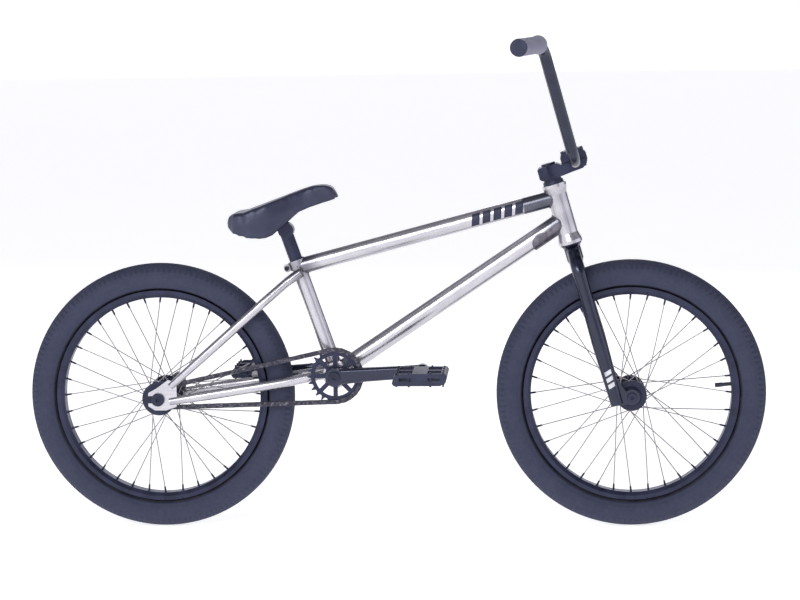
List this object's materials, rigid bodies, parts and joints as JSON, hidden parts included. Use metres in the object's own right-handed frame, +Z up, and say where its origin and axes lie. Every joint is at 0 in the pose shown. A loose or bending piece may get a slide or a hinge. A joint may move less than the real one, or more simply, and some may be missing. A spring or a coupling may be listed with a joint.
{
  "type": "bmx bike",
  "caption": "Brakeless freestyle bike with a raw steel frame, tall handlebar, spoked wheels, pivotal seat and single-speed chain drive.",
  "frame": {"origin": "on the ground, midway between the two axles, in the wheels' centre plane", "axes": "+X forward, +Y to the rider's left, +Z up; the chain is on the -Y side"},
  "size_m": [1.428, 0.741, 0.9463],
  "materials": {
    "raw_steel": "clear-coated raw steel with darker weld zones",
    "weld_steel": "heat-darkened raw steel",
    "black_paint": "satin black paint over steel",
    "black_alloy": "black anodised aluminium",
    "black_steel": "black oxide steel fasteners",
    "bright_steel": "bare ground steel",
    "spoke_steel": "dark stainless wire",
    "chain_steel": "oiled dark steel chain",
    "tyre_rubber": "matt black tyre rubber",
    "tube_rubber": "matt butyl rubber",
    "grip_rubber": "grey moulded rubber",
    "black_plastic": "moulded black plastic",
    "guard_plastic": "black nylon guard",
    "seat_cover": "smooth black cover over foam"
  },
  "bodies": {
    "frame": {"head_tube": "raw_steel", "top_tube": "raw_steel", "down_tube": "raw_steel", "down_tube_gusset": "weld_steel", "seat_tube": "raw_steel", "seat_clamp_bolt": "black_steel", "bottom_bracket_shell": "raw_steel", "chain_stays": "raw_steel", "seat_stays": "raw_steel", "rear_dropouts": "raw_steel", "headset_bearings": "bright_steel", "bottom_bracket_bearings": "bright_steel", "rear_axle": "bright_steel", "rear_axle_bolts": "black_steel", "rear_hub_guards": "guard_plastic"},
    "steering": {"fork_steerer": "black_paint", "fork_legs": "black_paint", "fork_dropouts": "black_paint", "headset_top_cap": "black_alloy", "fork_top_bolt": "black_steel", "stem_body": "black_alloy", "stem_cap": "black_alloy", "stem_bolts": "black_steel", "front_axle": "bright_steel", "front_axle_bolts": "black_steel", "front_hub_guards": "guard_plastic"},
    "handlebar_unit": {"handlebar": "black_paint", "handlebar_crossbar": "black_paint", "grip_left": "grip_rubber", "grip_right": "grip_rubber", "bar_end_plugs": "black_plastic"},
    "front_wheel": {"front_tyre": "tyre_rubber", "front_inner_tube": "tube_rubber", "front_rim": "black_alloy", "front_spokes": "spoke_steel", "front_nipples": "black_steel", "front_hub_shell": "black_alloy", "front_hub_bearings": "bright_steel"},
    "rear_wheel": {"rear_tyre": "tyre_rubber", "rear_inner_tube": "tube_rubber", "rear_rim": "black_alloy", "rear_spokes": "spoke_steel", "rear_nipples": "black_steel", "rear_hub_shell": "black_alloy", "rear_hub_bearings": "bright_steel"},
    "driver": {"rear_driver": "chain_steel"},
    "crankset": {"sprocket": "black_alloy", "chain": "chain_steel", "crank_spindle": "bright_steel", "crank_arm_right": "black_paint", "crank_arm_left": "black_paint", "crank_bolts": "black_steel", "bottom_bracket_spacers": "bright_steel", "pedal_spindles": "bright_steel"},
    "pedal_right_unit": {"pedal_right": "black_plastic"},
    "pedal_left_unit": {"pedal_left": "black_plastic"},
    "post": {"seat_post": "black_alloy", "seat_pivot_bolt": "black_steel"},
    "seat": {"seat_base": "black_plastic", "seat_cushion": "seat_cover"}
  },
  "joints": [
    {"name": "steering_turn", "type": "hinge", "parent": "frame", "child": "steering", "pos_m": [0.32503, 0, 0.60681], "axis": [-0.2706, 0, 0.9627], "continuous": true},
    {"name": "bar_tilt", "type": "hinge", "parent": "steering", "child": "handlebar_unit", "pos_m": [0.34854, 0, 0.70794], "axis": [0, 1, 0], "range_deg": [-12, 12]},
    {"name": "front_wheel_spin", "type": "hinge", "parent": "steering", "child": "front_wheel", "pos_m": [0.455, 0, 0.259], "axis": [0, 1, 0], "continuous": true},
    {"name": "rear_wheel_spin", "type": "hinge", "parent": "frame", "child": "rear_wheel", "pos_m": [-0.455, 0, 0.259], "axis": [0, 1, 0], "continuous": true},
    {"name": "crank_spin", "type": "hinge", "parent": "frame", "child": "crankset", "pos_m": [-0.1125, 0, 0.3014], "axis": [0, 1, 0], "continuous": true, "deforming": ["chain"]},
    {"name": "driver_spin", "type": "hinge", "parent": "frame", "child": "driver", "pos_m": [-0.455, 0, 0.259], "axis": [0, 1, 0], "continuous": true},
    {"name": "pedal_right_spin", "type": "hinge", "parent": "crankset", "child": "pedal_right_unit", "pos_m": [0.05698, 0, 0.31474], "axis": [0, 1, 0], "continuous": true},
    {"name": "pedal_left_spin", "type": "hinge", "parent": "crankset", "child": "pedal_left_unit", "pos_m": [-0.28198, 0, 0.28806], "axis": [0, 1, 0], "continuous": true},
    {"name": "seat_height", "type": "slide", "parent": "frame", "child": "post", "axis": [-0.3272, 0, 0.9449], "range_m": [-0.04, 0.05]},
    {"name": "seat_tilt", "type": "hinge", "parent": "post", "child": "seat", "pos_m": [-0.20681, 0, 0.57987], "axis": [0, 1, 0], "range_deg": [-8, 8]}
  ],
  "couplings": [
    {"joint": "driver_spin", "follows": "crank_spin", "ratio": 2.7778}
  ]
}
